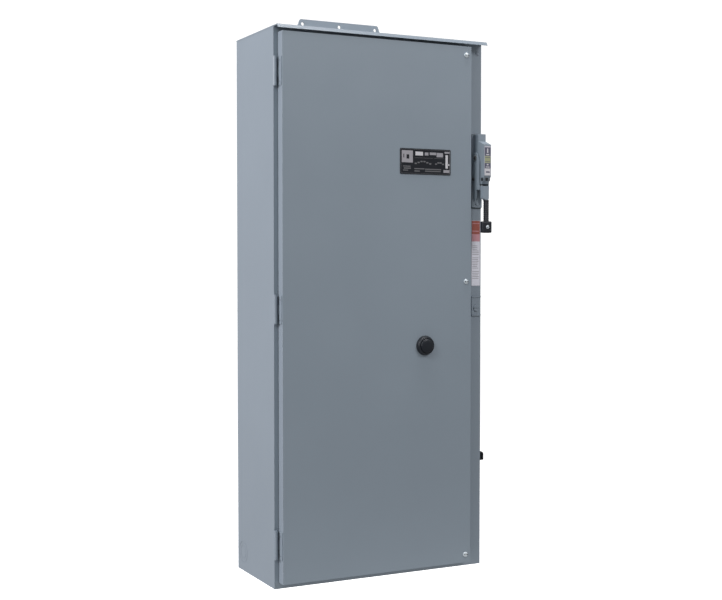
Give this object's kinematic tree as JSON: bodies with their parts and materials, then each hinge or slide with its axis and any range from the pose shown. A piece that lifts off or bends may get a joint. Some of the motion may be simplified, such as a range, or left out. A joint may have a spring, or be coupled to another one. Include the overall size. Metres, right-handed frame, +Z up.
{
  "type": "automatic transfer switch",
  "caption": "Wall-mounted sheet-steel cabinet with a hinged door, push button, drip hood and flange handle, holding a breaker and an interlocked transfer contactor pair.",
  "frame": {"origin": "centre of the four outer wall holes, on the wall plane", "axes": "+Z up, -Y out of the wall towards the person at the door, +X to that person's right"},
  "size_m": [0.5425, 0.2768, 1.344],
  "materials": {
    "cabinet_paint": "semi-gloss grey-blue enamel",
    "panel_paint": "white gloss enamel",
    "zinc": "zinc plated",
    "bright_screw": "bright plated",
    "black_steel": "black oxide",
    "gasket": "foam rubber",
    "black_plastic": "moulded, fine grain",
    "gloss_black": "polished",
    "grip_vinyl": "dipped vinyl",
    "label": "laminated label",
    "nameplate": "printed plate",
    "operator_yellow": "chromate and paint",
    "copper": "tin-free copper",
    "grey_plastic": "moulded",
    "ivory_plastic": "moulded polyester",
    "cable_black": "extruded insulation",
    "paper": "clear pocket with card"
  },
  "bodies": {
    "cabinet": {"back_panel": "cabinet_paint", "left_side": "cabinet_paint", "right_side": "cabinet_paint", "top_panel": "cabinet_paint", "bottom_panel": "cabinet_paint", "drip_hood": "cabinet_paint", "upper_bracket": "cabinet_paint", "lower_bracket": "cabinet_paint", "body_hinge_leaves": "cabinet_paint", "hinge_pins": "cabinet_paint", "door_gasket": "gasket", "mounting_panel": "panel_paint", "panel_studs": "zinc", "screw_receivers": "zinc", "side_staple": "black_steel", "flange_screws": "cabinet_paint", "safety_label": "label", "interlock_plate": "cabinet_paint", "handle_gasket": "gasket", "handle_base": "cabinet_paint", "handle_housing": "cabinet_paint", "indicator_label": "label", "operating_cables": "cable_black", "breaker_case": "black_plastic", "operator_frame": "zinc", "cable_lugs": "zinc", "lug_blocks": "black_plastic", "normal_contactor": "black_plastic", "emergency_contactor": "black_plastic", "arc_covers": "grey_plastic", "rocker_bracket": "zinc", "contact_terminals": "copper", "load_busbars": "copper", "power_cables": "cable_black", "transfer_controller": "grey_plastic", "control_devices": "zinc", "ground_neutral_bars": "copper"},
    "door": {"door_panel": "cabinet_paint", "door_hinge_leaves": "cabinet_paint", "nameplate": "nameplate", "door_stiffener": "cabinet_paint", "button_bezel": "black_plastic", "button_nut": "zinc", "button_block": "black_plastic", "diagram_pocket": "paper"},
    "push_button": {"button_cap": "gloss_black"},
    "screw_top": {"door_screw_top": "bright_screw"},
    "screw_middle": {"door_screw_middle": "bright_screw"},
    "screw_bottom": {"door_screw_bottom": "bright_screw"},
    "handle": {"handle_lever": "cabinet_paint", "handle_grip": "grip_vinyl", "handle_knob": "black_plastic", "knob_screw": "bright_screw", "handle_shaft": "zinc"},
    "defeater": {"defeater_screw": "cabinet_paint"},
    "toggle": {"breaker_toggle": "black_plastic"},
    "slide": {"operator_slide": "operator_yellow"},
    "normal_contacts": {"normal_crosshead": "ivory_plastic"},
    "emergency_contacts": {"emergency_crosshead": "ivory_plastic"},
    "rocker": {"transfer_rocker": "zinc"}
  },
  "joints": [
    {"name": "door_hinge", "type": "hinge", "parent": "cabinet", "child": "door", "pos_m": [-0.2615, -0.227, -0.004], "axis": [0, 0, -1], "range_deg": [0, 115]},
    {"name": "button_press", "type": "slide", "parent": "door", "child": "push_button", "axis": [0, 1, 0], "range_m": [0, 0.005], "stiffness_N_per_m": 400, "springref_m": -0.002},
    {"name": "screw_top_turn", "type": "hinge", "parent": "door", "child": "screw_top", "pos_m": [0.2071, -0.24, 0.574], "axis": [0, -1, 0], "range_deg": [0, 90]},
    {"name": "screw_middle_turn", "type": "hinge", "parent": "door", "child": "screw_middle", "pos_m": [0.2071, -0.24, 0.0535], "axis": [0, -1, 0], "range_deg": [0, 90]},
    {"name": "screw_bottom_turn", "type": "hinge", "parent": "door", "child": "screw_bottom", "pos_m": [0.2071, -0.24, -0.5815], "axis": [0, -1, 0], "range_deg": [0, 90]},
    {"name": "handle_throw", "type": "hinge", "parent": "cabinet", "child": "handle", "pos_m": [0.249, -0.24, 0.34], "axis": [-1, 0, 0], "range_deg": [0, 150]},
    {"name": "defeater_turn", "type": "hinge", "parent": "cabinet", "child": "defeater", "pos_m": [0.249, -0.222, -0.009], "axis": [0, -1, 0], "range_deg": [0, 90]},
    {"name": "breaker_toggle_swing", "type": "hinge", "parent": "cabinet", "child": "toggle", "pos_m": [0.09, -0.08, 0.326], "axis": [-1, 0, 0], "range_deg": [0, 40]},
    {"name": "operator_slide_travel", "type": "slide", "parent": "cabinet", "child": "slide", "axis": [0, 0, 1], "range_m": [0, 0.02111]},
    {"name": "transfer_swing", "type": "hinge", "parent": "cabinet", "child": "rocker", "pos_m": [-0.0175, -0.102, 0.046], "axis": [0, 0, -1], "range_deg": [0, 8.19]},
    {"name": "normal_contact_travel", "type": "slide", "parent": "cabinet", "child": "normal_contacts", "axis": [0, -1, 0], "range_m": [0, 0.006]},
    {"name": "emergency_contact_travel", "type": "slide", "parent": "cabinet", "child": "emergency_contacts", "axis": [0, 1, 0], "range_m": [0, 0.006]}
  ],
  "couplings": [
    {"joint": "breaker_toggle_swing", "follows": "handle_throw", "ratio": 0.26667},
    {"joint": "operator_slide_travel", "follows": "handle_throw", "m_per_rad": 0.008063},
    {"joint": "normal_contact_travel", "follows": "transfer_swing", "m_per_rad": 0.04196},
    {"joint": "emergency_contact_travel", "follows": "transfer_swing", "m_per_rad": 0.04196}
  ]
}
